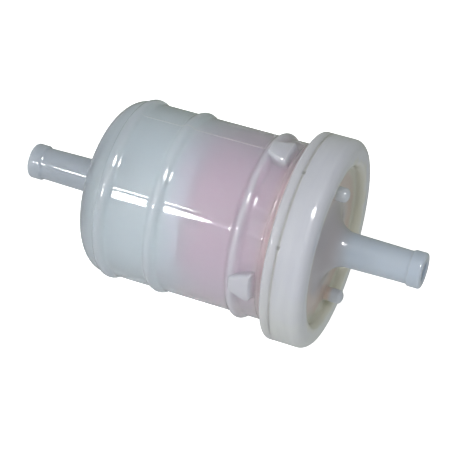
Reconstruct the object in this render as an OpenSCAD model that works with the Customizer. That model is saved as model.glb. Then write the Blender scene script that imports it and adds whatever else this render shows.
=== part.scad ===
// In-line fuel filter for a small engine: a moulded nylon housing and cover, spin-welded round a
// pleated paper element.  The flow runs along +X, from the inlet port to the outlet port.  The
// origin is on the axis at half the overall length, and +Z runs through one of the drive lugs.

/* [Housing] */
// Length of the housing from its inlet face to the weld face
housing_len = 52.6; // [46:0.2:64]
// Outer diameter of the housing
housing_od = 43.6; // [36:0.2:54]
// Wall of the housing
housing_wall = 2; // [1.4:0.1:2.6]
// Radius of the flat inlet face inside the round shoulder
face_r = 12.5; // [10:0.5:14]
// Depth of the round shoulder along the axis
shoulder_len = 6.3; // [5:0.1:8]

/* [Housing beads] */
// Distance from the inlet face to the first bead, at the shoulder
bead_1_at = 7.8; // [7:0.1:9]
// Distance from the inlet face to the second bead
bead_2_at = 20.8; // [16:0.1:26]
// Distance from the flange back to the third bead, where the lugs start
bead_3_back = 8.3; // [7:0.1:11]
// Half width of a bead along the axis
bead_half_w = 1.7; // [1.2:0.1:2]
// Height of the first two beads
bead_h = 0.85; // [0.6:0.05:1.2]
// Height of the third bead
bead_3_h = 1.15; // [0.8:0.05:1.4]
// Height of the fine collar between the lugs and the flange
collar_h = 0.4; // [0.2:0.05:0.6]

/* [Drive lugs] */
// Number of drive lugs round the housing
lug_count = 4; // [3:1:6]
// Height of a lug above the housing wall
lug_h = 2.1; // [1.4:0.1:2.8]
// Width of a lug at its flange end
lug_w = 8; // [5:0.1:9]
// Width of a lug at its inlet end
lug_tip_w = 3.4; // [2:0.1:5]
// Gap between a lug and the flange
lug_gap = 2.4; // [1.4:0.1:3]

/* [Weld flange and cover] */
// How far the flange and the cover rim stand out from the housing wall
flange_reach = 3.8; // [3:0.1:6]
// Thickness of the housing flange
flange_thk = 2.6; // [2.2:0.1:3.6]
// Length of the cover rim from the weld face to its front
cover_len = 7.4; // [6.6:0.1:10]
// Radius of the edge round the front of the cover
cover_edge_r = 2.4; // [1:0.1:2.8]
// Width of the cover rim in front, outside the recess
rim_w = 6.2; // [5:0.1:7]
// Depth of the recess in the front of the cover
recess_depth = 2.3; // [1.2:0.1:2.8]
// Wall of the cover behind the recess
cover_wall = 2.5; // [1.6:0.1:3]
// Height of the weld tongue on the cover
tongue_h = 1.2; // [0.8:0.1:1.5]
// Width of the weld tongue on the cover
tongue_w = 1.6; // [1:0.1:2]

/* [Cover pins and boss] */
// Number of round pins in the recess
pin_count = 2; // [2:1:4]
// Diameter of a pin
pin_d = 3.5; // [2.4:0.1:4.2]
// Height of a pin above the recess floor
pin_h = 4.6; // [3:0.1:7]
// Gap between a pin and the wall of the recess
pin_inset = 0.6; // [0:0.1:3]
// Turn of the cover against the housing, where the spin weld stopped
cover_turn = -7; // [-45:1:45]
// Radius of the flared boss at the recess floor
boss_r = 12; // [9:0.5:13]
// Length of the flared boss along the outlet port
boss_len = 5.6; // [3:0.1:8]

/* [Hose ports] */
// Length of the inlet port from the inlet face to its tip
inlet_port_len = 20.4; // [16:0.2:30]
// Length of the outlet port from the front of the cover to its tip
outlet_port_len = 21.6; // [16:0.2:30]
// Diameter of both ports beside the barb, for a hose of 8 mm bore
port_od = 8; // [7:0.1:10]
// Taper of a port: how much thicker it is at its root
port_taper = 0.5; // [0:0.1:2]
// How far the hose barb stands out from the port
barb_h = 0.4; // [0.2:0.05:1]
// Length of the hose barbs
barb_len = 3.2; // [2.6:0.1:4]
// Diameter of the bore through both ports
port_bore = 5; // [4:0.1:6]

/* [Filter element] */
// Length of the chamber between the inlet face and the element
chamber_len = 23.1; // [20:0.1:28]
// Number of pleats
pleat_count = 36; // [24:1:40]
// Thickness of the filter paper
paper_t = 0.4; // [0.3:0.05:0.5]
// Gap between the element and the inside of the housing
element_gap = 0.8; // [0.5:0.1:1.2]
// Thickness of the end caps
cap_t = 1.5; // [1:0.1:2]
// Thickness of the adhesive in each end cap
glue_t = 1.2; // [0.8:0.1:1.6]
// Wall of the end cap lips and collars
lip_t = 0.8; // [0.6:0.1:1]
// Height of the end cap lips and collars
lip_h = 2.4; // [1.6:0.1:3]
// Wall of the core tube
core_wall = 1.2; // [0.8:0.1:1.6]
// Room between the neck of the cover and the collar inside the core tube
collar_room = 3; // [2:0.1:3.4]
// Number of windows round the core tube
window_count = 8; // [6:1:10]
// Number of rows of windows along the core tube
window_rows = 4; // [3:1:5]
// Outer radius of the neck inside the cover
neck_r = 5.2; // [4.2:0.1:6]
// Length of the neck inside the cover
neck_len = 5.6; // [4.5:0.1:7]
// Thickness of the seal ring along the axis
seal_t = 2.1; // [1.4:0.1:2.6]
// Width of the seal ring across its section
seal_w = 2.2; // [1.6:0.1:3]

/* [Hidden] */
$fn = 96;

fit_gap = 0.1;         // gap between pieces that a hand pushes together
slide_gap = 0.3;       // gap round the neck and round the core tube
eps = 0.01;            // run-out of a cut past the face that it opens
round_steps = 12;      // straight steps along a quarter round
tip_round = 0.7;       // round at the tip of a port
barb_back = 0.35;      // length of the step behind a barb
root_round = 1.5;      // round where the inlet port meets the inlet face
flange_round = 0.8;    // round at the back edge of the flange
collar_half_w = 0.6;   // half width of the fine collar
lug_land = 2.6;        // straight stretch of a lug's sloping side
pin_dome = 1.2;        // height of the domed end of a pin
window_land = 2.4;     // material between two rows of windows
window_share = 0.6;    // share of the girth that the windows open
glue_rise = 0.4;       // how far the seam glue fills its pleat

// Rounds that the wall beside them may limit
recess_lip = min(1.4, 0.6 * recess_depth);
recess_round = min(0.8, 0.3 * recess_depth);
cover_round = min(cover_edge_r, cover_len / 2);

// Radii
housing_r = housing_od / 2;
cavity_r = housing_r - housing_wall;
flange_r = housing_r + flange_reach;
recess_r = flange_r - rim_w;
tongue_r = (cavity_r + flange_r) / 2;
port_r = port_od / 2;
port_root_r = port_r + port_taper / 2;
barb_r = port_r + barb_h;
bore_r = port_bore / 2;
pin_r = pin_d / 2;
pin_circle_r = recess_r - pin_inset - pin_r;

// Stations along the axis
overall_len = inlet_port_len + housing_len + cover_len + outlet_port_len;
inlet_tip = -overall_len / 2;
face_x = inlet_tip + inlet_port_len;
weld_x = face_x + housing_len;
flange_x = weld_x - flange_thk;
front_x = weld_x + cover_len;
outlet_tip = front_x + outlet_port_len;
floor_x = front_x - recess_depth;
ceiling_x = floor_x - cover_wall;
bead_3_x = flange_x - bead_3_back;
lug_x = flange_x - lug_gap;

// The element stands between the chamber and the seal ring under the cover
element_x0 = face_x + chamber_len;
element_x1 = ceiling_x - seal_t;
core_x0 = element_x0 + cap_t;
core_x1 = element_x1 - cap_t;
paper_x0 = core_x0 + glue_t;
paper_x1 = core_x1 - glue_t;
cap_r = cavity_r - element_gap;
glue_r = cap_r - lip_t;
crest_r = glue_r - fit_gap;
collar_r = neck_r + collar_room + lip_t;
core_in_r = collar_r + fit_gap;
core_r = core_in_r + core_wall;
root_r = core_r + slide_gap;

// A fold of the paper: its half angle, and the slant of its legs at the crest and at the root
fold = 180 / pleat_count;
crest_slant = atan2(root_r * sin(fold), crest_r - root_r * cos(fold));
crest_in_r = crest_r - paper_t / sin(crest_slant);
root_out_r = root_r + paper_t / sin(crest_slant + fold);

// Turns a profile about the axis.  Its points are [radius, station along X].
module turned() rotate([0, 90, 0]) rotate_extrude() children();

// A ring or disc about the axis between two stations
module ring(x0, x1, r_out, r_in = 0)
    turned() translate([r_in, x0]) square([r_out - r_in, x1 - x0]);

// Points on an elliptical arc about [cr, cx], with half axes a across and b along the axis
function arc(cr, cx, a, b, t0, t1) =
    [for (i = [0 : round_steps]) let (t = t0 + (t1 - t0) * i / round_steps) [cr + a * cos(t), cx + b * sin(t)]];

// The outline of a port from its root to its tip, seen with the tip at x and pointing along dir
function port_outline(x, dir) = concat(
    [[port_r, x - dir * (barb_len + barb_back)], [barb_r, x - dir * barb_len]],
    arc(barb_r - tip_round, x - dir * tip_round, tip_round, dir * tip_round, 0, 90),
    [[0, x]]);

// A round bead about the housing, the cap of a circle that is half_w to each side and h high
module bead(x, half_w, h) {
    r = (half_w * half_w + h * h) / (2 * h);
    turned() intersection() {
        translate([housing_r + h - r, x]) circle(r = r);
        translate([housing_r - housing_wall / 2, x - r]) square([2 * r, 2 * r]);
    }
}

// A wedge on the housing: its sides spread from the third bead towards the flange
module drive_lug() {
    x0 = bead_3_x - bead_half_w / 2;
    intersection() {
        linear_extrude(height = 2 * flange_r)
            polygon([[x0, lug_tip_w / 2], [lug_x, lug_w / 2], [lug_x, -lug_w / 2],
                     [lug_x - lug_land, -lug_w / 2], [x0, -lug_tip_w / 2]]);
        ring(x0 - 1, lug_x + 1, housing_r + lug_h, housing_r - housing_wall / 2);
    }
}

// Outside of the housing: inlet port, inlet face, round shoulder, wall and weld flange
module housing_shell() {
    shoulder_x = face_x + shoulder_len;
    port_out = port_outline(inlet_tip, -1);
    turned() polygon(concat(
        [for (i = [len(port_out) - 1 : -1 : 0]) port_out[i]],
        arc(port_root_r + root_round, face_x - root_round, root_round, root_round, 180, 90),
        arc(face_r, shoulder_x, housing_r - face_r, shoulder_len, -90, 0),
        [[housing_r, flange_x]],
        arc(flange_r - flange_round, flange_x + flange_round, flange_round, flange_round, -90, 0),
        [[flange_r, weld_x], [0, weld_x]]));
}

// Inside of the housing, open at the weld face
module housing_cavity() {
    x = face_x + housing_wall;
    turned() polygon(concat(
        [[0, weld_x + eps], [0, x]],
        arc(face_r, x + shoulder_len, cavity_r - face_r, shoulder_len, -90, 0),
        [[cavity_r, weld_x + eps]]));
}

module inlet_housing() color([0.72, 0.77, 0.78, 0.55]) difference() {
    union() {
        housing_shell();
        bead(face_x + bead_1_at, bead_half_w, bead_h);
        bead(face_x + bead_2_at, bead_half_w, bead_h);
        bead(bead_3_x, bead_half_w, bead_3_h);
        bead(lug_x + collar_half_w, collar_half_w, collar_h);
        for (i = [0 : lug_count - 1]) rotate([i * 360 / lug_count, 0, 0]) drive_lug();
    }
    housing_cavity();
    ring(inlet_tip - 1, face_x + housing_wall + eps, bore_r);
    ring(weld_x - tongue_h - fit_gap, weld_x + eps, tongue_r + tongue_w / 2 + fit_gap,
         tongue_r - tongue_w / 2 - fit_gap);
}

// Outside of the cover: rim, recess, flared boss and outlet port
module cover_shell() turned() polygon(concat(
    [[0, weld_x], [flange_r, weld_x]],
    arc(flange_r - cover_round, front_x - cover_round, cover_round, cover_round, 0, 90),
    arc(recess_r + recess_lip, front_x - recess_lip, recess_lip, recess_lip, 90, 180),
    arc(recess_r - recess_round, floor_x + recess_round, recess_round, recess_round, 0, -90),
    arc(boss_r, floor_x + boss_len, boss_r - port_root_r, boss_len, 270, 180),
    port_outline(outlet_tip, 1)));

// One pin of the cover, standing along +Z with a domed end
module cover_pin() rotate_extrude() polygon(concat(
    [[0, -cover_wall / 2], [pin_r, -cover_wall / 2]],
    arc(0, pin_h - pin_dome, pin_r, pin_dome, 0, 90)));

module outlet_cover() color([0.78, 0.79, 0.74]) difference() {
    union() {
        difference() {
            cover_shell();
            ring(weld_x - 1, ceiling_x, cavity_r);
        }
        ring(weld_x - tongue_h, weld_x + eps, tongue_r + tongue_w / 2, tongue_r - tongue_w / 2);
        ring(ceiling_x - neck_len, ceiling_x + eps, neck_r);
        for (i = [0 : pin_count - 1])
            rotate([-cover_turn + i * 360 / pin_count, 0, 0])
                translate([floor_x, 0, pin_circle_r]) rotate([0, 90, 0]) cover_pin();
    }
    ring(ceiling_x - neck_len - 1, outlet_tip + 1, bore_r);
}

// Cup on the blind end of the element, with a collar that centres the core tube
module closed_end_cap() color("silver") {
    ring(element_x0, core_x0, cap_r);
    ring(core_x0 - eps, core_x0 + lip_h, cap_r, glue_r);
    ring(core_x0 - eps, core_x0 + lip_h, collar_r, collar_r - lip_t);
}

// Cup on the open end of the element, with a hole for the neck of the cover
module open_end_cap() color("silver") {
    ring(core_x1, element_x1, cap_r, neck_r + slide_gap);
    ring(core_x1 - lip_h, core_x1 + eps, cap_r, glue_r);
    ring(core_x1 - lip_h, core_x1 + eps, collar_r, collar_r - lip_t);
}

module closed_end_adhesive() color("tan") ring(core_x0, paper_x0, glue_r, core_r);

module open_end_adhesive() color("tan") ring(paper_x1, core_x1, glue_r, core_r);

// A star with one crest and one root for each pleat
function star(r_crest, r_root) = [for (i = [0 : 2 * pleat_count - 1])
    let (r = i % 2 == 0 ? r_crest : r_root) [r * cos(i * fold), r * sin(i * fold)]];

module pleated_paper() color([0.72, 0.56, 0.62]) translate([paper_x0, 0, 0]) rotate([0, 90, 0])
    linear_extrude(height = paper_x1 - paper_x0) difference() {
        polygon(star(crest_r, root_out_r));
        polygon(star(crest_in_r, root_r));
    }

// Glue in one valley of the paper, where its two ends meet
module pleat_seam_glue() {
    outside = star(crest_r, root_out_r);
    valley = outside[1];
    color("tan") translate([paper_x0, 0, 0]) rotate([0, 90, 0])
        linear_extrude(height = paper_x1 - paper_x0) polygon([
            valley,
            valley + glue_rise * (outside[0] - valley),
            valley + glue_rise * (outside[2] - valley)]);
}

// Perforated tube that holds the pleats open from inside
module core_tube() {
    pitch = (core_x1 - core_x0 - 2 * lip_h) / window_rows;
    window_w = window_share * 2 * PI * core_in_r / window_count;
    color("white") difference() {
        ring(core_x0, core_x1, core_r, core_in_r);
        for (row = [0 : window_rows - 1], i = [0 : window_count - 1])
            rotate([i * 360 / window_count, 0, 0])
                translate([core_x0 + lip_h + pitch * (row + 0.5), 0, (core_in_r + core_r) / 2])
                    cube([pitch - window_land, window_w, 3 * core_wall], center = true);
    }
}

module element_seal() color("black") ring(element_x1, ceiling_x, neck_r + seal_w, neck_r);

inlet_housing();
outlet_cover();
closed_end_cap();
closed_end_adhesive();
pleated_paper();
pleat_seam_glue();
core_tube();
open_end_adhesive();
open_end_cap();
element_seal();
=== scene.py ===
"""In-line fuel filter: a translucent nylon housing and a milky cover round a pink pleated element."""
import math

import bmesh
import bpy
import numpy as np
from mathutils import Matrix, Vector


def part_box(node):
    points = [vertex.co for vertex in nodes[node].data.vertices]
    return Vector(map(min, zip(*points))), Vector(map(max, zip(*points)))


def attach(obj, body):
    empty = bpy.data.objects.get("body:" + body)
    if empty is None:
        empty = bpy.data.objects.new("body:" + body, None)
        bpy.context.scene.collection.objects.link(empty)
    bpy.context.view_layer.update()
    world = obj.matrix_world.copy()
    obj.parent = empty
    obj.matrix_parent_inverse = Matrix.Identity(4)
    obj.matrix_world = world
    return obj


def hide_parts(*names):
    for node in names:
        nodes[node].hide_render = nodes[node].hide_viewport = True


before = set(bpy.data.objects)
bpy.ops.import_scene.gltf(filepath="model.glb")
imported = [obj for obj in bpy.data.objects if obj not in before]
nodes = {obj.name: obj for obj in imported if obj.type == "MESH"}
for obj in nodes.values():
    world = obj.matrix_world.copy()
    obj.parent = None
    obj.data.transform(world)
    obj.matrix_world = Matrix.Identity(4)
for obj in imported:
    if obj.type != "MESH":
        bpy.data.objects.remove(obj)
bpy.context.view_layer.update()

# ---------------------------------------------------------------- sizes in metres, from the frame
MM = 0.001
housing_lo, housing_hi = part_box("inlet_housing")
cover_lo, cover_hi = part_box("outlet_cover")
paper_lo, paper_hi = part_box("pleated_paper")
core_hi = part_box("core_tube")[1]
seal_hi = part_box("element_seal")[1]

INLET_TIP = housing_lo.x
WELD_X = housing_hi.x
FLANGE_R = housing_hi.z
OUTLET_TIP = cover_hi.x
NECK_END = cover_lo.x
CEILING_X = seal_hi.x

# Housing
FACE_X = INLET_TIP + 20.4 * MM
WALL_R = FLANGE_R - 3.8 * MM
WALL = 2.0 * MM
CAVITY_R = WALL_R - WALL
FACE_R = 12.5 * MM
SHOULDER_LEN = 6.3 * MM
FLANGE_X = WELD_X - 2.6 * MM
FLANGE_ROUND = 0.8 * MM
BEAD_HALF_W = 1.7 * MM
LUG_X1 = FLANGE_X - 2.4 * MM
BEADS = ((FACE_X + 7.8 * MM, BEAD_HALF_W, 0.85 * MM),
         (FACE_X + 20.8 * MM, BEAD_HALF_W, 0.85 * MM),
         (FLANGE_X - 8.3 * MM, BEAD_HALF_W, 1.15 * MM),
         (LUG_X1 + 0.6 * MM, 0.6 * MM, 0.4 * MM))

# Drive lugs, with half widths from a lug's middle. One side runs along the axis over the land's length.
LUG_COUNT = 4
LUG_X0 = BEADS[2][0] - BEAD_HALF_W / 2
LUG_H = 2.1 * MM
LUG_TIP_HALF = 1.7 * MM
LUG_HALF = 4.0 * MM
LUG_LAND = 2.6 * MM
LUG_EDGE = 1.1 * MM

# Columns of the housing mesh before they bend round a lug: its side, and the strip of close columns there
LUG_HOME = math.radians(6)
LUG_STRIP = math.radians(1.9)

# Fine parting line of the mould: its column before bending, and the angle it then lies at on the wall
PART_LINE = math.radians(2.4)
PART_LINE_AT = math.radians(1.5)
RIDGE_H = 0.12 * MM
RIDGE_HALF = math.radians(1.0)

# Cover
FRONT_X = WELD_X + 7.4 * MM
EDGE_R = 2.4 * MM
RECESS_R = FLANGE_R - 6.2 * MM
RECESS_LIP = 1.4 * MM
RECESS_ROUND = 0.7 * MM
FLOOR_X = FRONT_X - 2.3 * MM
BOSS_R = 12.0 * MM
BOSS_LEN = 5.6 * MM
NECK_R = 5.2 * MM
PIN_R = 1.75 * MM
PIN_H = 4.6 * MM
PIN_CIRCLE_R = RECESS_R - 0.6 * MM - PIN_R
COVER_TURN = math.radians(-7)

# Ports
PORT_R = 4.0 * MM
PORT_ROOT_R = 4.25 * MM
BARB_R = 4.4 * MM
BARB_LEN = 3.2 * MM
BARB_STEP = 0.35 * MM
TIP_ROUND = 0.7 * MM
BORE_R = 2.5 * MM
ROOT_ROUND = 1.5 * MM

# Weld seam, with a few pits at these angles about the axis
SEAM_GROOVE = 0.01 * MM
SEAM_STEP = 0.25 * MM
SEAM_GAP = 0.004 * MM
SEAM_PITS = (math.radians(-17.4), math.radians(-59.5), math.radians(118))
PIT_DEPTH = 0.35 * MM
PIT_SPREAD = 0.45 * MM

# Paper
PLEATS = 36
PAPER_T = 0.4 * MM
CREST_R = paper_hi.z
ROOT_R = core_hi.z + 0.3 * MM


# ---------------------------------------------------------------- outlines and meshes
def arc(x, r, a, b, start, end, steps=12):
    """Points of an elliptical arc about (x, r): a along the axis, b outwards, angles in degrees from +X."""
    turns = [math.radians(start + (end - start) * i / steps) for i in range(steps + 1)]
    return [(x + a * math.cos(t), r + b * math.sin(t)) for t in turns]


def run(x0, r0, x1, r1, step):
    """Even points from one place to another, without the last one."""
    count = max(1, round(math.hypot(x1 - x0, r1 - r0) / step))
    return [(x0 + (x1 - x0) * i / count, r0 + (r1 - r0) * i / count) for i in range(count)]


def smooth(t):
    """Smooth step from 0 to 1."""
    t = np.clip(t, 0, 1)
    return t * t * (3 - 2 * t)


def port(tip, way, root_x, root_r):
    """Outside of a port, from its bore round the tip and over the barb to its root. way is 1 where the tip
    points along +X, and -1 where it points along -X."""
    barb_end = tip - way * BARB_LEN
    nib = 0.12 * MM
    turn = (0, 90) if way > 0 else (180, 90)
    points = [(tip - way * 0.25 * MM, BORE_R), (tip, BORE_R + 0.25 * MM)]
    points += run(tip, BORE_R + 0.3 * MM, tip, BARB_R - TIP_ROUND, 0.4 * MM)
    points += arc(tip - way * TIP_ROUND, BARB_R - TIP_ROUND, TIP_ROUND, TIP_ROUND, *turn, 8)
    points += run(tip - way * 1.2 * MM, BARB_R, barb_end + way * nib, BARB_R, 0.5 * MM)
    points += [(barb_end + way * nib, BARB_R), (barb_end, BARB_R - nib)]
    points += [(barb_end - way * BARB_STEP, PORT_R + nib / 2)]
    points += [(barb_end - way * (BARB_STEP + 2 * nib), PORT_R)]
    return points + run(barb_end - way * (BARB_STEP + 0.6 * MM), PORT_R, root_x, root_r, 1.5 * MM)


def body_stations():
    """Places along the housing wall, closer together on the beads and at both ends of the lugs."""
    start, end = FACE_X + SHOULDER_LEN, FLANGE_X - 0.6 * MM
    closest = 0.04 * MM
    places = {round(x, 6) for x in np.arange(start, end, 1.0 * MM)}
    for x, half, _ in BEADS:
        places |= {round(x + half * t, 6) for t in np.linspace(-1.3, 1.3, 15)}
    for x in (LUG_X0, LUG_X1 - LUG_EDGE):
        places |= {round(x + LUG_EDGE * t, 6) for t in np.linspace(-0.1, 1.1, 11)}
    ordered = sorted(p for p in places if start < p < end)
    return [p for p, q in zip(ordered, ordered[1:] + [math.inf]) if q - p > closest]


def bead_height(x):
    """Height of the beads at x: each is a round cap that runs out into the wall in a small fillet."""
    height = 0.0
    join = 0.8
    run_out = join + (1 - join * join) / join
    for centre, half, h in BEADS:
        u = abs(x - centre) / half
        cap = h * (1 - u * u) if u < join else h * join / (run_out - join) * max(0.0, run_out - u) ** 2
        height = max(height, cap)
    return height


def lug_sides(x):
    """Half widths of a lug at x, as angles: the straight side and the side with the land."""
    share = min(1.0, max(0.0, (x - LUG_X0) / (LUG_X1 - LUG_X0)))
    landed = min(1.0, max(0.0, (x - LUG_X0) / (LUG_X1 - LUG_LAND - LUG_X0)))
    spread = LUG_HALF - LUG_TIP_HALF
    return (LUG_TIP_HALF + spread * share) / WALL_R, (LUG_TIP_HALF + spread * landed) / WALL_R


def home_angles():
    """Angles of the columns over one lug's sector, before they bend round the lug's sides."""
    half = math.pi / LUG_COUNT
    strip = np.linspace(-LUG_STRIP, LUG_STRIP, 13)
    ridge = PART_LINE + RIDGE_HALF * np.linspace(-1.0, 1.0, 9)
    top = np.radians([-3.4, -2.5, -1.6, -0.8, 0.0, 0.8, 3.75])
    outside = np.linspace(LUG_HOME + LUG_STRIP, half, 30)[1:]
    parts = [-outside[::-1], -LUG_HOME + strip, top, ridge, LUG_HOME + strip, outside[:-1]]
    return np.sort(np.concatenate(parts))


def lug_angles(x, home):
    """Angles of one sector's columns at x, bent so that they run along the lug's sides."""
    plus, minus = lug_sides(x)
    half = math.pi / LUG_COUNT
    side, strip = LUG_HOME, LUG_STRIP
    before = [-half, -side - strip, -side + strip, side - strip, side + strip, half]
    after = [-half, -minus - strip, -minus + strip, plus - strip, plus + strip, half]
    return np.interp(home, before, after)


def lug_height(x, angles):
    """Height of a lug: steep drafted sides with a rounded top edge and a small fillet at the wall."""
    plus, minus = lug_sides(x)
    off_side = np.maximum(angles - plus, -angles - minus) * WALL_R
    across = 1 - smooth(off_side / LUG_EDGE + 0.7)
    along = smooth((x - LUG_X0) / LUG_EDGE) * smooth((LUG_X1 - x) / LUG_EDGE)
    return LUG_H * across * along


def ridge_height(x, home):
    """Height of the parting line on the wall between the beads; it fades out beside each bead."""
    clear, run_out = 1.3 * MM, 0.4 * MM
    if not BEADS[0][0] < x < BEADS[2][0]:
        return np.zeros(len(home))
    fade = 1.0
    for centre, _, _ in BEADS[:3]:
        fade *= float(smooth((abs(x - centre) - clear) / run_out))
    return RIDGE_H * fade * (1 - smooth(np.abs(home - PART_LINE) / RIDGE_HALF))


def soft_max(a, b):
    """The larger of two heights, blended where they meet."""
    blend = 0.12 * MM
    return (a + b + np.sqrt((a - b) ** 2 + blend ** 2) - blend) / 2


def housing_row(x, r):
    """Angles and radii of the housing's outside at x. Every second lug has the parting line beside it."""
    home = home_angles()
    bent = lug_angles(x, home)
    plain = soft_max(bead_height(x), lug_height(x, bent))
    angles, radii = [], []
    for i in range(LUG_COUNT):
        lift = plain if i % 2 else plain + ridge_height(x, home)
        angles.append(bent + i * 2 * math.pi / LUG_COUNT)
        radii.append(r + lift)
    return np.concatenate(angles), np.concatenate(radii)


def plain_row(r):
    """Angles and radii of a round row, with as many columns as a row of the housing's wall."""
    home = home_angles()
    angles = np.concatenate([home + i * 2 * math.pi / LUG_COUNT for i in range(LUG_COUNT)])
    return angles, np.full(len(angles), r, float)


def seam_rows(way):
    """Rows beside the weld seam: an uneven groove with a few deeper pits. way is 1 on the cover, -1 on the
    housing, and the rows run along +X on both."""
    angles, radii = plain_row(FLANGE_R)
    wave = 0.5 + 0.3 * np.sin(9 * angles + 1) + 0.2 * np.sin(23 * angles)
    pits = np.zeros(len(angles))
    for pit in SEAM_PITS:
        away = (angles - pit + math.pi) % (2 * math.pi) - math.pi
        pits += PIT_DEPTH * np.exp(-(away * FLANGE_R / PIT_SPREAD) ** 2)
    rows = [(WELD_X + way * SEAM_GAP, angles, radii - SEAM_GROOVE * wave - pits)]
    for i, share in enumerate((0.8, 0.2, 0.0)):
        rows.append((WELD_X + way * (i + 1) * SEAM_STEP, angles, radii - share * pits))
    return rows[::way]


def ring_faces(rings, count):
    """Four-sided faces between neighbouring rings, given as pairs of numbers, of count points each."""
    faces = []
    for i, k in rings:
        for j in range(count):
            m = (j + 1) % count
            faces.append((i * count + j, i * count + m, k * count + m, k * count + j))
    return faces


def loop_of(count):
    """Pairs of neighbouring rings, the last with the first again."""
    return [(i, (i + 1) % count) for i in range(count)]


def closed_mesh(name, rows, lined_from=None):
    """A closed skin over rows of (x, angles, radii), the last row joined to the first. Faces from row
    lined_from on take the piece's second material."""
    count = len(rows[0][1])
    verts = np.empty((len(rows), count, 3))
    for i, (x, angles, radii) in enumerate(rows):
        verts[i, :, 0] = x
        verts[i, :, 1] = radii * np.sin(angles)
        verts[i, :, 2] = radii * np.cos(angles)
    faces = ring_faces(loop_of(len(rows)), count)
    obj = finished(name, verts.reshape(-1, 3).tolist(), faces)
    if lined_from is not None:
        lined = [int(i // count >= lined_from) for i in range(len(faces))]
        obj.data.polygons.foreach_set("material_index", lined)
    return obj


def finished(name, verts, faces, sharp=38):
    """A smooth-shaded object with its normals outwards and its edges sharp past an angle in degrees."""
    mesh = bpy.data.meshes.new(name)
    mesh.from_pydata(verts, [], faces)
    work = bmesh.new()
    work.from_mesh(mesh)
    bmesh.ops.recalc_face_normals(work, faces=work.faces)
    work.to_mesh(mesh)
    work.free()
    mesh.shade_smooth()
    mesh.set_sharp_from_angle(angle=math.radians(sharp))
    obj = bpy.data.objects.new(name, mesh)
    bpy.context.scene.collection.objects.link(obj)
    return obj


# ---------------------------------------------------------------- pieces
def make_housing():
    """Inlet port, inlet face, shoulder, beaded wall with its drive lugs, weld flange, and the inside."""
    rows = [(x, *plain_row(r)) for x, r in port(INLET_TIP, -1, FACE_X - ROOT_ROUND, PORT_ROOT_R)]
    outer = arc(FACE_X - ROOT_ROUND, PORT_ROOT_R + ROOT_ROUND, ROOT_ROUND, ROOT_ROUND, -90, 0, 8)
    outer += run(FACE_X, PORT_ROOT_R + ROOT_ROUND + 0.5 * MM, FACE_X, FACE_R, 1.5 * MM)
    outer += arc(FACE_X + SHOULDER_LEN, FACE_R, SHOULDER_LEN, WALL_R - FACE_R, 180, 90, 22)
    rows += [(x, *plain_row(r)) for x, r in outer]
    rows += [(x, *housing_row(x, WALL_R)) for x in body_stations()]
    foot = 0.5 * MM
    rim = arc(FLANGE_X - foot, WALL_R + foot, foot, foot, -90, 0, 6)
    rim += run(FLANGE_X, WALL_R + 0.8 * MM, FLANGE_X, FLANGE_R - FLANGE_ROUND, 0.6 * MM)
    rim += arc(FLANGE_X + FLANGE_ROUND, FLANGE_R - FLANGE_ROUND, FLANGE_ROUND, FLANGE_ROUND, 180, 90, 8)
    rows += [(x, *plain_row(r)) for x, r in rim] + seam_rows(-1)
    inner_face, mouth = FACE_X + WALL, WELD_X - SEAM_GAP
    inner = run(mouth, FLANGE_R - 0.8 * MM, mouth, CAVITY_R, 1.2 * MM)
    inner += run(mouth, CAVITY_R, inner_face + SHOULDER_LEN, CAVITY_R, 3.0 * MM)
    inner += arc(inner_face + SHOULDER_LEN, FACE_R, SHOULDER_LEN, CAVITY_R - FACE_R, 90, 180, 12)
    inner += run(inner_face, FACE_R - 1.0 * MM, inner_face, BORE_R, 1.5 * MM)
    inner += run(inner_face, BORE_R, INLET_TIP + 1.0 * MM, BORE_R, 2.5 * MM)
    outside_rows = len(rows)
    rows += [(x, *plain_row(r)) for x, r in inner]
    return closed_mesh("housing_skin", rows, outside_rows)


def make_cover():
    """Rim, recess, flared boss, outlet port and its bore, then the neck inside and the ceiling round it."""
    outer = run(WELD_X + 4 * SEAM_STEP, FLANGE_R, FRONT_X - EDGE_R, FLANGE_R, 0.5 * MM)
    outer += arc(FRONT_X - EDGE_R, FLANGE_R - EDGE_R, EDGE_R, EDGE_R, 90, 0, 16)
    outer += run(FRONT_X, FLANGE_R - EDGE_R - 0.4 * MM, FRONT_X, RECESS_R + RECESS_LIP, 0.4 * MM)
    outer += arc(FRONT_X - RECESS_LIP, RECESS_R + RECESS_LIP, RECESS_LIP, RECESS_LIP, 0, -90, 12)
    outer += arc(FLOOR_X + RECESS_ROUND, RECESS_R - RECESS_ROUND, RECESS_ROUND, RECESS_ROUND, 90, 180, 8)
    outer += run(FLOOR_X, RECESS_R - RECESS_ROUND - 0.5 * MM, FLOOR_X, BOSS_R, 0.5 * MM)
    outer += arc(FLOOR_X + BOSS_LEN, BOSS_R, BOSS_LEN, BOSS_R - PORT_ROOT_R, 180, 270, 28)
    tip = port(OUTLET_TIP, 1, FLOOR_X + BOSS_LEN + 0.5 * MM, PORT_ROOT_R)
    outer += tip[::-1]
    outer += run(OUTLET_TIP - 1.0 * MM, BORE_R, NECK_END, BORE_R, 1.5 * MM)
    outer += run(NECK_END, BORE_R, NECK_END, NECK_R, 0.9 * MM)
    outer += run(NECK_END, NECK_R, CEILING_X, NECK_R, 1.0 * MM)
    outer += run(CEILING_X, NECK_R, CEILING_X, CAVITY_R, 1.5 * MM)
    mouth = WELD_X + SEAM_GAP
    outer += run(CEILING_X, CAVITY_R, mouth, CAVITY_R, 1.0 * MM)
    outer += run(mouth, CAVITY_R, mouth, FLANGE_R - 0.8 * MM, 1.2 * MM)
    return closed_mesh("cover_skin", seam_rows(1) + [(x, *plain_row(r)) for x, r in outer])


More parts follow.
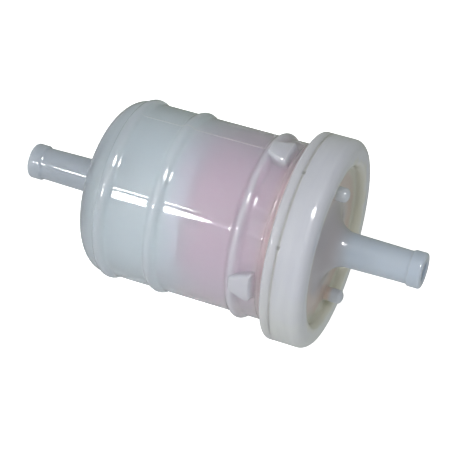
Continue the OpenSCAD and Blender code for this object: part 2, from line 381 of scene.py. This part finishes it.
def make_pin(name, turn):
    """A domed pin of the cover, flared where it meets the recess floor."""
    flare = 0.5 * MM
    dome = 1.2 * MM
    outline = [(-0.4 * MM, 0.0), (-0.4 * MM, PIN_R + flare)]
    outline += arc(flare, PIN_R + flare, flare, flare, 180, 270, 6)
    outline += run(0.9 * MM, PIN_R, PIN_H - dome, PIN_R, 0.5 * MM)
    outline += arc(PIN_H - dome, 0, dome, PIN_R, 90, 0, 10)
    count = 40
    centre = Vector((FLOOR_X, PIN_CIRCLE_R * math.sin(turn), PIN_CIRCLE_R * math.cos(turn)))
    verts = [centre + Vector((x, r * math.sin(a), r * math.cos(a)))
             for x, r in outline[1:-1] for a in np.linspace(0, 2 * math.pi, count, endpoint=False)]
    verts += [centre + Vector((outline[0][0], 0, 0)), centre + Vector((outline[-1][0], 0, 0))]
    foot, top = len(verts) - 2, len(verts) - 1
    rings = len(outline) - 2
    faces = ring_faces([(i, i + 1) for i in range(rings - 1)], count)
    last = (rings - 1) * count
    for j in range(count):
        m = (j + 1) % count
        faces.append((foot, m, j))
        faces.append((top, last + j, last + m))
    return finished(name, verts, faces)


def make_paper():
    """The pleated paper: a closed strip whose folds are rounded and not quite even."""
    steps = 12
    mean, swing = (CREST_R + ROOT_R) / 2, (CREST_R - ROOT_R) / 2
    turns = np.linspace(0, 2 * math.pi, PLEATS * steps, endpoint=False)
    phase = PLEATS * turns
    wobble = 0.12 * np.sin(5 * turns + 1) + 0.1 * np.sin(11 * turns)
    wave = np.cos(phase + wobble)
    fold = np.sign(wave) * np.abs(wave) ** 0.8
    middle = mean + (swing - PAPER_T / 2) * fold
    inner = np.stack([middle * np.sin(turns), middle * np.cos(turns)], 1)
    ahead, behind = np.roll(inner, -1, 0), np.roll(inner, 1, 0)
    along = ahead - behind
    along /= np.linalg.norm(along, axis=1)[:, None]
    outwards = np.stack([-along[:, 1], along[:, 0]], 1)
    sides = (inner + outwards * PAPER_T / 2, inner - outwards * PAPER_T / 2)
    levels = np.linspace(paper_lo.x, paper_hi.x, 7)
    loops = [(x, sides[0]) for x in levels] + [(x, sides[1]) for x in levels[::-1]]
    verts = [(x, y, z) for x, side in loops for y, z in side]
    return finished("paper_folds", verts, ring_faces(loop_of(len(loops)), len(turns)), 60)


# ---------------------------------------------------------------- materials
class Shader:
    """Adds shader nodes by short calls. An argument is a plain value or another node's output. Places and
    radii are in millimetres, and angle is about the axis, from +Z towards +Y."""

    def __init__(self, name):
        self.material = bpy.data.materials.new(name)
        self.material.use_nodes = True
        self.tree = self.material.node_tree
        self.tree.nodes.clear()
        scaled = self.node("ShaderNodeVectorMath", "SCALE")
        self.put(scaled.inputs[0], self.node("ShaderNodeTexCoord").outputs["Object"])
        scaled.inputs["Scale"].default_value = 1 / MM
        self.place = scaled.outputs[0]
        split = self.node("ShaderNodeSeparateXYZ")
        self.put(split.inputs[0], self.place)
        self.x, self.y, self.z = split.outputs
        squares = [self.math("MULTIPLY", side, side) for side in (self.y, self.z)]
        self.radius = self.math("SQRT", self.math("ADD", *squares))
        self.angle = self.math("ARCTAN2", self.y, self.z)

    def node(self, kind, operation=None):
        """A new node of a kind."""
        made = self.tree.nodes.new(kind)
        if operation:
            made.operation = operation
        return made

    def put(self, socket, value):
        """Links an output to a socket, or sets the socket's own value."""
        if isinstance(value, bpy.types.NodeSocket):
            self.tree.links.new(value, socket)
        else:
            socket.default_value = value

    def math(self, operation, a, b=0.0):
        """The result of an operation on one or two values."""
        made = self.node("ShaderNodeMath", operation)
        self.put(made.inputs[0], a)
        self.put(made.inputs[1], b)
        return made.outputs[0]

    def both(self, a, b):
        """Two masks where they overlap."""
        return self.math("MULTIPLY", a, b)

    def away(self, value, middle):
        """Distance of a value from a middle one."""
        return self.math("ABSOLUTE", self.math("SUBTRACT", value, middle))

    def span(self, value, low, high, to_low=0.0, to_high=1.0):
        """A soft step that goes from to_low at low to to_high at high."""
        made = self.node("ShaderNodeMapRange")
        made.interpolation_type = "SMOOTHSTEP"
        for socket, v in zip(made.inputs, (value, low, high, to_low, to_high)):
            self.put(socket, v)
        return made.outputs[0]

    def noise(self, scale, detail=3.0, stretch=(1, 1, 1)):
        """Noise with its scale in waves per millimetre."""
        mapping = self.node("ShaderNodeMapping")
        self.put(mapping.inputs["Vector"], self.place)
        mapping.inputs["Scale"].default_value = stretch
        made = self.node("ShaderNodeTexNoise")
        self.put(made.inputs["Vector"], mapping.outputs[0])
        made.inputs["Scale"].default_value = scale
        made.inputs["Detail"].default_value = detail
        return made.outputs["Fac"]

    def mix(self, share, a, b):
        """Colour a where share is 0, and b where it is 1."""
        made = self.node("ShaderNodeMix")
        made.data_type = "RGBA"
        self.put(made.inputs["Factor"], share)
        for socket, value in zip((made.inputs[6], made.inputs[7]), (a, b)):
            self.put(socket, value if isinstance(value, bpy.types.NodeSocket) else (*value, 1.0))
        return made.outputs[2]

    def bump(self, height, depth, below=None):
        """A normal for a height that is depth metres deep, on top of another bump."""
        made = self.node("ShaderNodeBump")
        self.put(made.inputs["Height"], height)
        made.inputs["Distance"].default_value = depth
        if below is not None:
            self.put(made.inputs["Normal"], below)
        return made.outputs[0]

    def finish(self, **sockets):
        """A Principled surface; sockets are its inputs, with _ for a space."""
        surface = self.node("ShaderNodeBsdfPrincipled")
        for name, value in sockets.items():
            socket = surface.inputs[name.replace("_", " ")]
            if isinstance(value, tuple) and len(value) == 3 and socket.type == "RGBA":
                value = (*value, 1.0)
            self.put(socket, value)
        output = self.node("ShaderNodeOutputMaterial")
        self.tree.links.new(surface.outputs[0], output.inputs[0])
        return self.material


# What the milky nylons share: light scatters under the surface, and a thin glossy skin lies over it
NYLON = {"IOR": 1.42, "Specular_IOR_Level": 0.2, "Coat_IOR": 1.5,
         "Subsurface_Weight": 1.0, "Subsurface_Radius": (1.0, 1.0, 1.0)}


def moulded_skin(s):
    """Bump of moulded nylon: slow waviness, a fine grain, and hair scratches along the part."""
    waves = s.bump(s.noise(0.12, 2.0), 0.10 * MM)
    grain = s.bump(s.noise(2.5, 4.0), 0.004 * MM, waves)
    hairs = s.span(s.noise(1.2, 5.0, (0.15, 1, 1)), 0.62, 0.7)
    return s.bump(hairs, 0.004 * MM, grain)


def rim_colour(s):
    """Colour of the thick rim: bluer above, yellower below, white along the weld, and darker in its pits.
    """
    bands = s.noise(0.8, 3.0, (1, 0.1, 0.1))
    above = s.mix(bands, (0.72, 0.73, 0.79), (0.81, 0.82, 0.87))
    below = s.mix(bands, (0.77, 0.79, 0.75), (0.85, 0.87, 0.82))
    height = s.math("ADD", s.z, s.span(s.noise(0.08, 3.0), 0.2, 0.8, -8.0, 8.0))
    colour = s.mix(s.span(height, 8.0, -18.0), above, below)
    white, pit_dark = (0.97, 0.97, 0.94), (0.24, 0.25, 0.23)
    off_weld = s.away(s.x, WELD_X / MM)
    colour = s.mix(s.span(off_weld, 0.5, 0.05), colour, white)
    # The weld's pits are painted darker.
    for pit in SEAM_PITS:
        beside = s.span(s.away(s.angle, pit), 0.7 * MM / FLANGE_R, 0.2 * MM / FLANGE_R)
        in_pit = s.both(beside, s.span(off_weld, 0.6, 0.2))
        colour = s.mix(s.both(in_pit, 0.55), colour, pit_dark)
    return colour


def thin_wall(s):
    """Colour of the housing's thin wall: blue-green over the chamber; pink and lilac over the paper and tan
    beside the flange, painted as the element seen through the wall, with a ragged edge between."""
    start = paper_lo.x / MM
    over_chamber = s.mix(s.noise(0.09, 3.0), (0.72, 0.78, 0.81), (0.77, 0.82, 0.85))
    # Pink and lilac over the paper, and tan by the flange, are the element painted as if seen through the
    # wall.
    seen_through = s.mix(s.span(s.z, -4.0, -20.0), (0.77, 0.75, 0.81), (0.84, 0.80, 0.81))
    seen_through = s.mix(s.span(s.x, LUG_X1 / MM - 2.0, FLANGE_X / MM), seen_through, (0.86, 0.78, 0.74))
    ragged = s.math("ADD", s.x, s.span(s.noise(0.1, 3.0), 0.2, 0.8, -4.0, 4.0))
    return s.mix(s.span(ragged, start - 6.0, start + 8.0), over_chamber, seen_through)


def part_line(s):
    """Mask of the parting line, between the first bead and the third."""
    beside = s.span(s.away(s.angle, PART_LINE_AT), math.radians(0.55), math.radians(0.2))
    start, end = BEADS[0][0] / MM, BEADS[2][0] / MM
    return s.both(s.both(beside, s.span(s.x, start, start + 2.0)), s.span(s.x, end, end - 2.0))


def housing_nylon():
    """Milky nylon: clearest on the thin wall, and denser on the beads, lugs, flange and port."""
    s = Shader("housing_nylon_look")
    wall, face, flange = WALL_R / MM, FACE_X / MM, FLANGE_X / MM
    on_port = s.span(s.x, face + 3.0, face - 1.0)
    on_flange = s.span(s.x, flange - 0.6, flange + 0.8)
    raised = s.span(s.radius, wall + 0.3, wall + 1.6)
    dense = s.math("MAXIMUM", s.math("MAXIMUM", on_port, on_flange), raised)
    thick = s.mix(s.noise(0.3, 2.0), (0.68, 0.69, 0.75), (0.74, 0.75, 0.80))
    thick = s.mix(on_port, thick, (0.54, 0.59, 0.65))
    colour = s.mix(on_flange, s.mix(dense, thin_wall(s), thick), rim_colour(s))
    on_line = part_line(s)
    colour = s.mix(s.both(on_line, 0.8), colour, (0.92, 0.92, 0.90))
    clear = s.span(s.math("MAXIMUM", dense, on_line), 0.0, 1.0, 0.75, 0.15)
    return s.finish(
        Base_Color=colour, Roughness=s.span(s.noise(0.5, 4.0), 0.3, 0.7, 0.5, 0.6),
        Transmission_Weight=clear, Subsurface_Scale=4.0 * MM,
        Coat_Weight=0.8, Coat_Roughness=0.03, Normal=moulded_skin(s), **NYLON)


def housing_lining():
    """The inside of the housing: the same nylon but clear, so that the outside alone makes it milky."""
    s = Shader("housing_lining_look")
    cloudy = s.noise(0.2, 3.0)
    return s.finish(
        Base_Color=s.mix(cloudy, (0.90, 0.93, 0.95), (0.96, 0.97, 0.98)),
        Roughness=s.span(cloudy, 0.3, 0.7, 0.5, 0.6), Transmission_Weight=1.0, IOR=1.42,
        Normal=s.bump(cloudy, 0.05 * MM))


def cover_nylon():
    """Denser milky nylon: olive round the recess and brown to lilac on its floor, painted as the adhesive
    and paper seen through the floor, and blue on the outlet port.
    """
    s = Shader("cover_nylon_look")
    uneven = s.math("ADD", s.radius, s.span(s.noise(0.25, 3.0), 0.0, 1.0, -1.2, 1.2))
    recess, floor, boss = RECESS_R / MM, FLOOR_X / MM, BOSS_R / MM
    olive, brown = (0.75, 0.74, 0.63), (0.68, 0.56, 0.49)
    lilac, blue = (0.56, 0.53, 0.55), (0.62, 0.69, 0.77)
    pin_white = (0.64, 0.67, 0.71)
    # Olive, brown and lilac are the adhesive and paper behind the recess floor, painted as if seen through
    # it.
    colour = s.mix(s.span(uneven, recess + 2.6, recess + 0.4), rim_colour(s), olive)
    colour = s.mix(s.span(uneven, recess - 0.5, recess - 3.2), colour, brown)
    colour = s.mix(s.span(uneven, recess - 4.5, recess - 9.0), colour, lilac)
    colour = s.mix(s.span(s.x, floor + 1.5, floor + 7.0), colour, blue)
    between = s.both(s.span(s.radius, recess - 0.3, recess - 0.6), s.span(s.radius, boss, boss + 1.0))
    colour = s.mix(s.both(s.span(s.x, floor + 0.6, floor + 2.2), between), colour, pin_white)
    return s.finish(
        Base_Color=colour, Roughness=s.span(s.noise(0.5, 4.0), 0.3, 0.7, 0.36, 0.48),
        Transmission_Weight=0.10, Subsurface_Scale=1.5 * MM,
        Coat_Weight=0.7, Coat_Roughness=0.05, Normal=moulded_skin(s), **NYLON)


def filter_paper():
    """Pink resin-dipped paper with a fibrous surface."""
    s = Shader("filter_paper_look")
    fibres = s.noise(3.0, 6.0, (0.3, 1, 1))
    patches = s.noise(0.1, 3.0)
    colour = s.mix(patches, (0.96, 0.60, 0.72), (0.97, 0.68, 0.78))
    colour = s.mix(s.span(fibres, 0.35, 0.75), colour, (0.97, 0.76, 0.83))
    return s.finish(Base_Color=colour, Roughness=s.span(fibres, 0.3, 0.7, 0.75, 0.95),
                    Normal=s.bump(fibres, 0.05 * MM))


def cap_nylon():
    """Pale lilac nylon of the end caps."""
    s = Shader("cap_nylon_look")
    grain = s.noise(0.8, 4.0)
    colour = s.mix(grain, (0.80, 0.72, 0.78), (0.86, 0.79, 0.84))
    return s.finish(Base_Color=colour, Roughness=s.span(grain, 0.3, 0.7, 0.45, 0.6),
                    Normal=s.bump(grain, 0.02 * MM))


def core_nylon():
    """Grey nylon of the core tube."""
    s = Shader("core_nylon_look")
    grain = s.noise(0.6, 4.0)
    return s.finish(Base_Color=s.mix(grain, (0.62, 0.62, 0.60), (0.70, 0.70, 0.67)),
                    Roughness=s.span(grain, 0.3, 0.7, 0.4, 0.55), Normal=s.bump(grain, 0.02 * MM))


def adhesive():
    """Tan potting adhesive with darker pools and a wavy surface."""
    s = Shader("adhesive_look")
    pools = s.noise(0.5, 3.0)
    colour = s.mix(pools, (0.45, 0.28, 0.17), (0.58, 0.38, 0.25))
    return s.finish(Base_Color=colour, Roughness=s.span(pools, 0.3, 0.7, 0.25, 0.45),
                    Normal=s.bump(pools, 0.15 * MM))


def seal_rubber():
    """Black rubber of the seal ring."""
    s = Shader("seal_rubber_look")
    grain = s.noise(2.0, 5.0)
    return s.finish(Base_Color=s.mix(grain, (0.02, 0.02, 0.022), (0.05, 0.05, 0.052)),
                    Roughness=s.span(grain, 0.3, 0.7, 0.6, 0.8), Normal=s.bump(grain, 0.03 * MM))


def floor_look():
    """Pale table that glows a little, so that it stays white round the part."""
    s = Shader("floor_look")
    grain = s.noise(0.05, 4.0)
    return s.finish(Base_Color=s.mix(grain, (0.88, 0.88, 0.88), (0.92, 0.92, 0.92)),
                    Roughness=s.span(grain, 0.3, 0.7, 0.8, 0.95), Specular_IOR_Level=0.0,
                    Emission_Color=(1.0, 1.0, 1.0), Emission_Strength=0.9,
                    Normal=s.bump(grain, 0.02 * MM))


# ---------------------------------------------------------------- stage
def make_floor():
    """A white table under the flange. It neither lights the part nor shows in its gloss."""
    half = 4.0
    corners = [(x * half, y * half, -FLANGE_R) for x, y in ((-1, -1), (1, -1), (1, 1), (-1, 1))]
    floor = finished("floor", corners, [(0, 1, 2, 3)])
    floor.data.materials.append(floor_look())
    floor.visible_diffuse = False
    floor.visible_glossy = False


def posed(location, right, up, back):
    """The matrix of a thing at a location that looks against back, with its own right and up."""
    return Matrix.Translation(location) @ Matrix((right, up, back)).transposed().to_4x4()


def area_light(name, towards, distance, width, height, power):
    """An oval softbox that faces the part's middle, at a distance in the direction towards, with its width
    along the part."""
    data = bpy.data.lights.new(name, "AREA")
    data.shape = "ELLIPSE"
    data.size, data.size_y = width, height
    data.energy = power
    light = bpy.data.objects.new(name, data)
    bpy.context.scene.collection.objects.link(light)
    back = Vector(towards).normalized()
    across = (Vector((1, 0, 0)) - back * back.x).normalized()
    light.matrix_world = posed(back * distance, across, back.cross(across), back)
    return light


def around(angle, x):
    """A direction at an angle in degrees about the axis, from +Z towards +Y, leaning x along the axis."""
    turn = math.radians(angle)
    flat = math.sqrt(1 - x * x)
    return (x, flat * math.sin(turn), flat * math.cos(turn))


def make_lights():
    """A window and a softbox that make only highlights, the window's bright edge, and two soft fills that
    make none."""
    window = area_light("window", around(-64.5, -0.38), 0.5, 0.118, 0.072, 1.3)
    area_light("window_edge", around(-56.5, -0.36), 0.5, 0.09, 0.012, 0.15)
    softbox = area_light("softbox", around(-24.5, 0.27), 0.5, 0.30, 0.11, 2.8)
    side_fill = area_light("fill", around(-88, 0.0), 0.7, 0.6, 0.3, 0.8)
    front_fill = area_light("front_fill", around(-50, 0.05), 0.6, 0.3, 0.3, 0.6)
    for glint in (window, softbox):
        glint.visible_diffuse = False
    for fill in (side_fill, front_fill):
        fill.visible_glossy = False


def make_world():
    """Grey surroundings that are darker behind the part, so that its far side falls off."""
    behind = around(91, 0.0)
    grey, dark = (0.45, 0.465, 0.475, 1), (0.23, 0.25, 0.19, 1)
    world = bpy.data.worlds.new("studio")
    bpy.context.scene.world = world
    world.use_nodes = True
    tree = world.node_tree
    facing = tree.nodes.new("ShaderNodeVectorMath")
    facing.operation = "DOT_PRODUCT"
    facing.inputs[1].default_value = behind
    tree.links.new(tree.nodes.new("ShaderNodeTexCoord").outputs["Generated"], facing.inputs[0])
    ramp = tree.nodes.new("ShaderNodeValToRGB")
    for element, position, colour in zip(ramp.color_ramp.elements, (0.74, 0.84), (grey, dark)):
        element.position = position
        element.color = colour
    tree.links.new(facing.outputs["Value"], ramp.inputs[0])
    tree.links.new(ramp.outputs[0], tree.nodes["Background"].inputs["Color"])


def make_camera():
    """A level camera that looks down on the part from its outlet side, then turned about the part's axis,
    because the part lay with a lug a little off the top. offset is the target's place in the view."""
    heading, height, clocking = math.radians(22.67), math.radians(43.62), math.radians(6)
    flat = math.cos(height)
    back = Vector((math.sin(heading) * flat, -math.cos(heading) * flat, math.sin(height)))
    right = Vector((math.cos(heading), math.sin(heading), 0))
    up = back.cross(right)
    target = Vector((2.0 * MM, 0, 0))
    offset = Vector((1.24, 2.22, -385.9)) * MM
    location = target - (right * offset.x + up * offset.y + back * offset.z)
    data = bpy.data.cameras.new("camera")
    data.sensor_width = 36
    data.lens = 128
    data.clip_start = 0.01
    data.clip_end = 10
    camera = bpy.data.objects.new("camera", data)
    bpy.context.scene.collection.objects.link(camera)
    camera.matrix_world = Matrix.Rotation(clocking, 4, "X") @ posed(location, right, up, back)
    bpy.context.scene.camera = camera


# ---------------------------------------------------------------- the scene
def dress(obj, material, slot, *stands_for):
    """Gives a piece its material; one that stands for CAD nodes also takes their place. slot is not used.
    """
    obj.data.materials.clear()
    obj.data.materials.append(material)
    if stands_for:
        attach(obj, "root")
        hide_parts(*stands_for)


nylon, cover = housing_nylon(), cover_nylon()
housing = make_housing()
dress(housing, nylon, "housing_nylon", "inlet_housing")
housing.data.materials.append(housing_lining())
dress(make_cover(), cover, "cover_nylon", "outlet_cover")
for number in range(2):
    pin = make_pin(f"cover_pin_{number + 1}", COVER_TURN + number * math.pi)
    dress(pin, cover, "cover_nylon")
    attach(pin, "root")
dress(make_paper(), filter_paper(), "filter_paper", "pleated_paper")
cap, glue = cap_nylon(), adhesive()
for name in ("closed_end_cap", "open_end_cap"):
    dress(nodes[name], cap, "cap_nylon")
for name in ("closed_end_adhesive", "open_end_adhesive", "pleat_seam_glue"):
    dress(nodes[name], glue, "adhesive")
dress(nodes["core_tube"], core_nylon(), "core_nylon")
dress(nodes["element_seal"], seal_rubber(), "seal_rubber")

make_floor()
make_world()
make_lights()
make_camera()
bpy.context.scene.view_settings.view_transform = "Standard"
